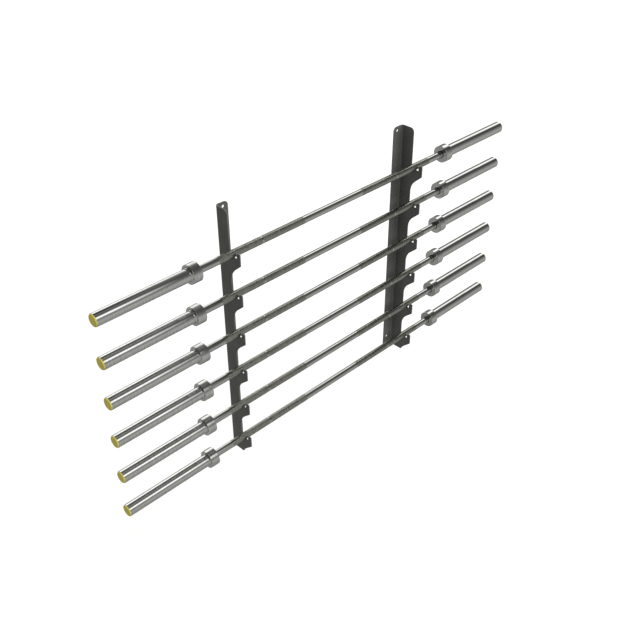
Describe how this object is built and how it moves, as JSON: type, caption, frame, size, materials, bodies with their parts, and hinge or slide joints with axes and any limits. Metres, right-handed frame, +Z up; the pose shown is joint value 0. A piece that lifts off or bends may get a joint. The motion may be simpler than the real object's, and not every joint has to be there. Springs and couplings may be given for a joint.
{
  "type": "barbell storage rack",
  "caption": "Wall-mounted horizontal barbell rack: two bent-sheet uprights with a column of hooks, carrying barbells one above the other, each with free-turning sleeves.",
  "frame": {"origin": "on the wall face of the left upright's flange, on the flange's centre line, half way up the upright", "axes": "+X along the bars towards the right upright, +Y into the wall, +Z up"},
  "size_m": [2.2, 0.1245, 1.1408],
  "materials": {
    "powder_coat": "satin black powder coat",
    "knurled_steel": "turned, knurled on the grips",
    "chrome": "polished hard chrome",
    "bronze": "turned bearing bronze",
    "spring_steel": "stamped, oiled",
    "yellow_plastic": "moulded, satin"
  },
  "bodies": {
    "rack": {"upright_left": "powder_coat", "upright_right": "powder_coat"},
    "bar_1": {"bar_1_shaft": "knurled_steel", "bar_1_retaining_ring_left": "spring_steel", "bar_1_retaining_ring_right": "spring_steel"},
    "bar_1_sleeve_left_turning": {"bar_1_sleeve_left": "chrome", "bar_1_bushing_left": "bronze", "bar_1_end_cap_left": "yellow_plastic"},
    "bar_1_sleeve_right_turning": {"bar_1_sleeve_right": "chrome", "bar_1_bushing_right": "bronze", "bar_1_end_cap_right": "yellow_plastic"},
    "bar_2": {"bar_2_shaft": "knurled_steel", "bar_2_retaining_ring_left": "spring_steel", "bar_2_retaining_ring_right": "spring_steel"},
    "bar_2_sleeve_left_turning": {"bar_2_sleeve_left": "chrome", "bar_2_bushing_left": "bronze", "bar_2_end_cap_left": "yellow_plastic"},
    "bar_2_sleeve_right_turning": {"bar_2_sleeve_right": "chrome", "bar_2_bushing_right": "bronze", "bar_2_end_cap_right": "yellow_plastic"},
    "bar_3": {"bar_3_shaft": "knurled_steel", "bar_3_retaining_ring_left": "spring_steel", "bar_3_retaining_ring_right": "spring_steel"},
    "bar_3_sleeve_left_turning": {"bar_3_sleeve_left": "chrome", "bar_3_bushing_left": "bronze", "bar_3_end_cap_left": "yellow_plastic"},
    "bar_3_sleeve_right_turning": {"bar_3_sleeve_right": "chrome", "bar_3_bushing_right": "bronze", "bar_3_end_cap_right": "yellow_plastic"},
    "bar_4": {"bar_4_shaft": "knurled_steel", "bar_4_retaining_ring_left": "spring_steel", "bar_4_retaining_ring_right": "spring_steel"},
    "bar_4_sleeve_left_turning": {"bar_4_sleeve_left": "chrome", "bar_4_bushing_left": "bronze", "bar_4_end_cap_left": "yellow_plastic"},
    "bar_4_sleeve_right_turning": {"bar_4_sleeve_right": "chrome", "bar_4_bushing_right": "bronze", "bar_4_end_cap_right": "yellow_plastic"},
    "bar_5": {"bar_5_shaft": "knurled_steel", "bar_5_retaining_ring_left": "spring_steel", "bar_5_retaining_ring_right": "spring_steel"},
    "bar_5_sleeve_left_turning": {"bar_5_sleeve_left": "chrome", "bar_5_bushing_left": "bronze", "bar_5_end_cap_left": "yellow_plastic"},
    "bar_5_sleeve_right_turning": {"bar_5_sleeve_right": "chrome", "bar_5_bushing_right": "bronze", "bar_5_end_cap_right": "yellow_plastic"},
    "bar_6": {"bar_6_shaft": "knurled_steel", "bar_6_retaining_ring_left": "spring_steel", "bar_6_retaining_ring_right": "spring_steel"},
    "bar_6_sleeve_left_turning": {"bar_6_sleeve_left": "chrome", "bar_6_bushing_left": "bronze", "bar_6_end_cap_left": "yellow_plastic"},
    "bar_6_sleeve_right_turning": {"bar_6_sleeve_right": "chrome", "bar_6_bushing_right": "bronze", "bar_6_end_cap_right": "yellow_plastic"}
  },
  "joints": [
    {"name": "bar_1_lift", "type": "slide", "parent": "rack", "child": "bar_1", "axis": [0, -0.4741, 0.8805], "range_m": [0, 0.3]},
    {"name": "bar_1_sleeve_left_spin", "type": "hinge", "parent": "bar_1", "child": "bar_1_sleeve_left_turning", "pos_m": [-0.42, -0.087, 0.40639], "axis": [1, 0, 0], "continuous": true},
    {"name": "bar_1_sleeve_right_spin", "type": "hinge", "parent": "bar_1", "child": "bar_1_sleeve_right_turning", "pos_m": [1.38, -0.087, 0.40639], "axis": [1, 0, 0], "continuous": true},
    {"name": "bar_2_lift", "type": "slide", "parent": "rack", "child": "bar_2", "axis": [0, -0.4741, 0.8805], "range_m": [0, 0.3]},
    {"name": "bar_2_sleeve_left_spin", "type": "hinge", "parent": "bar_2", "child": "bar_2_sleeve_left_turning", "pos_m": [-0.42, -0.087, 0.23039], "axis": [1, 0, 0], "continuous": true},
    {"name": "bar_2_sleeve_right_spin", "type": "hinge", "parent": "bar_2", "child": "bar_2_sleeve_right_turning", "pos_m": [1.38, -0.087, 0.23039], "axis": [1, 0, 0], "continuous": true},
    {"name": "bar_3_lift", "type": "slide", "parent": "rack", "child": "bar_3", "axis": [0, -0.4741, 0.8805], "range_m": [0, 0.3]},
    {"name": "bar_3_sleeve_left_spin", "type": "hinge", "parent": "bar_3", "child": "bar_3_sleeve_left_turning", "pos_m": [-0.42, -0.087, 0.05439], "axis": [1, 0, 0], "continuous": true},
    {"name": "bar_3_sleeve_right_spin", "type": "hinge", "parent": "bar_3", "child": "bar_3_sleeve_right_turning", "pos_m": [1.38, -0.087, 0.05439], "axis": [1, 0, 0], "continuous": true},
    {"name": "bar_4_lift", "type": "slide", "parent": "rack", "child": "bar_4", "axis": [0, -0.4741, 0.8805], "range_m": [0, 0.3]},
    {"name": "bar_4_sleeve_left_spin", "type": "hinge", "parent": "bar_4", "child": "bar_4_sleeve_left_turning", "pos_m": [-0.42, -0.087, -0.12161], "axis": [1, 0, 0], "continuous": true},
    {"name": "bar_4_sleeve_right_spin", "type": "hinge", "parent": "bar_4", "child": "bar_4_sleeve_right_turning", "pos_m": [1.38, -0.087, -0.12161], "axis": [1, 0, 0], "continuous": true},
    {"name": "bar_5_lift", "type": "slide", "parent": "rack", "child": "bar_5", "axis": [0, -0.4741, 0.8805], "range_m": [0, 0.3]},
    {"name": "bar_5_sleeve_left_spin", "type": "hinge", "parent": "bar_5", "child": "bar_5_sleeve_left_turning", "pos_m": [-0.42, -0.087, -0.29761], "axis": [1, 0, 0], "continuous": true},
    {"name": "bar_5_sleeve_right_spin", "type": "hinge", "parent": "bar_5", "child": "bar_5_sleeve_right_turning", "pos_m": [1.38, -0.087, -0.29761], "axis": [1, 0, 0], "continuous": true},
    {"name": "bar_6_lift", "type": "slide", "parent": "rack", "child": "bar_6", "axis": [0, -0.4741, 0.8805], "range_m": [0, 0.3]},
    {"name": "bar_6_sleeve_left_spin", "type": "hinge", "parent": "bar_6", "child": "bar_6_sleeve_left_turning", "pos_m": [-0.42, -0.087, -0.47361], "axis": [1, 0, 0], "continuous": true},
    {"name": "bar_6_sleeve_right_spin", "type": "hinge", "parent": "bar_6", "child": "bar_6_sleeve_right_turning", "pos_m": [1.38, -0.087, -0.47361], "axis": [1, 0, 0], "continuous": true}
  ]
}
